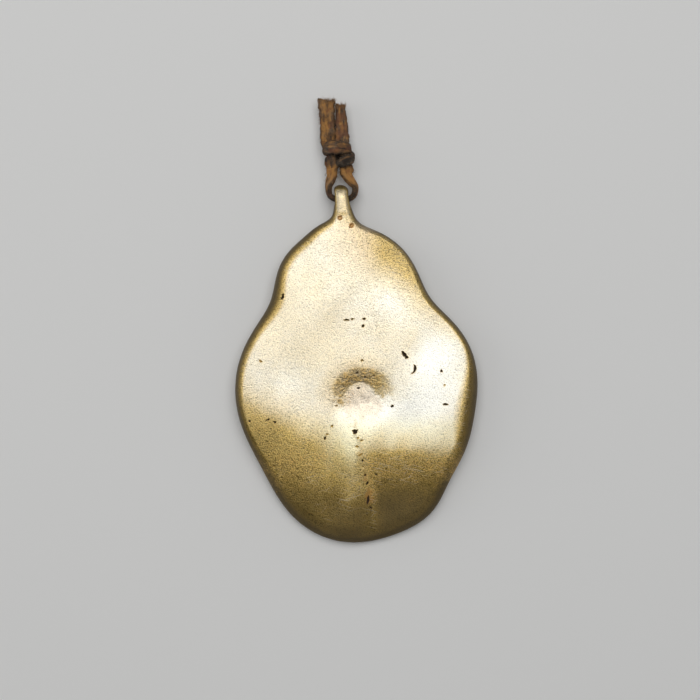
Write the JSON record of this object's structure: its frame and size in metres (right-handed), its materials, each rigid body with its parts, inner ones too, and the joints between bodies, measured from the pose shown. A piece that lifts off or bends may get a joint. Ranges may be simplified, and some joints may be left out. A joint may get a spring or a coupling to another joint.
{
  "type": "amulet pendant",
  "caption": "Worn cast brass amulet pendant with a soft lobed outline, a dent in its face and a small eye, hung on a knotted brown leather lace.",
  "frame": {"origin": "bottom centre of the brass casting, on the surface that it lies on", "axes": "+X to the right across the face, +Y toward the eye and the lace, +Z out of the face"},
  "size_m": [0.0418, 0.0765, 0.005],
  "materials": {
    "brass": "satin, worn by handling, sandy cast grain and dark pits",
    "leather": "matt, worn and frayed"
  },
  "bodies": {
    "amulet": {"amulet_plate": "brass"},
    "thong": {"thong_loop": "leather", "thong_knot": "leather", "thong_end_left": "leather", "thong_end_right": "leather"}
  },
  "joints": [
    {"name": "thong_swing", "type": "hinge", "parent": "amulet", "child": "thong", "pos_m": [-0.0025, 0.02853, 0.00255], "axis": [1, 0, 0], "range_deg": [-115, 115]}
  ]
}
